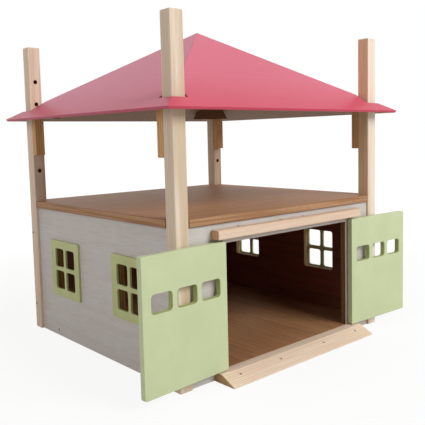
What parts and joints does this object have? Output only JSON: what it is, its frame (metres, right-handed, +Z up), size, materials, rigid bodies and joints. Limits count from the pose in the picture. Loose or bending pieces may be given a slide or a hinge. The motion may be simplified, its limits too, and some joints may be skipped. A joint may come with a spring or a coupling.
{
  "type": "toy barn",
  "caption": "Wooden toy barn with swing doors, barred side windows, an open loft between corner posts, and a pyramid roof that slides up the posts.",
  "frame": {"origin": "middle of the plan over the corner posts, on the ground", "axes": "+Z up, the doors face -Y, +X to the right seen from the doors"},
  "size_m": [0.4028, 0.3445, 0.363],
  "materials": {
    "pine": "bare, lightly sanded",
    "pale_pine": "bare, lightly sanded",
    "brown_board": "bare fibreboard, stained brown by its glue",
    "whitewashed_board": "thin white wash over grain",
    "green_paint": "matt paint, rubbed at the edges",
    "pink_paint": "matt paint",
    "steel_wire": "plain"
  },
  "bodies": {
    "barn": {"base_board": "brown_board", "loft_floor": "brown_board", "front_wall": "whitewashed_board", "back_wall": "whitewashed_board", "left_wall": "whitewashed_board", "right_wall": "whitewashed_board", "header_beam": "pale_pine", "threshold_ramp": "pale_pine", "front_left_post": "pine", "front_right_post": "pine", "back_left_post": "pine", "back_right_post": "pine", "left_front_window_frame": "green_paint", "left_back_window_frame": "green_paint", "right_front_window_frame": "green_paint", "right_back_window_frame": "green_paint", "roof_pegs": "pine", "post_nails": "steel_wire", "base_nails": "steel_wire", "header_nails": "steel_wire", "ramp_nails": "steel_wire"},
    "left_door": {"left_door": "green_paint", "left_door_top_pin": "steel_wire", "left_door_foot_pin": "steel_wire"},
    "right_door": {"right_door": "green_paint", "right_door_top_pin": "steel_wire", "right_door_foot_pin": "steel_wire"},
    "roof": {"front_roof_panel": "pink_paint", "back_roof_panel": "pink_paint", "left_roof_panel": "pink_paint", "right_roof_panel": "pink_paint", "front_left_gusset": "brown_board", "front_right_gusset": "brown_board", "back_left_gusset": "brown_board", "back_right_gusset": "brown_board", "front_left_guide_block": "pine", "front_right_guide_block": "pine", "back_left_guide_block": "pine", "back_right_guide_block": "pine"}
  },
  "joints": [
    {"name": "left_door_hinge", "type": "hinge", "parent": "barn", "child": "left_door", "pos_m": [-0.1019, -0.1525, 0.0738], "axis": [0, 0, 1], "range_deg": [-1, 177]},
    {"name": "right_door_hinge", "type": "hinge", "parent": "barn", "child": "right_door", "pos_m": [0.1019, -0.1525, 0.0738], "axis": [0, 0, -1], "range_deg": [-1, 177]},
    {"name": "roof_lift", "type": "slide", "parent": "barn", "child": "roof", "axis": [0, 0, 1], "range_m": [0, 0.0816]}
  ]
}
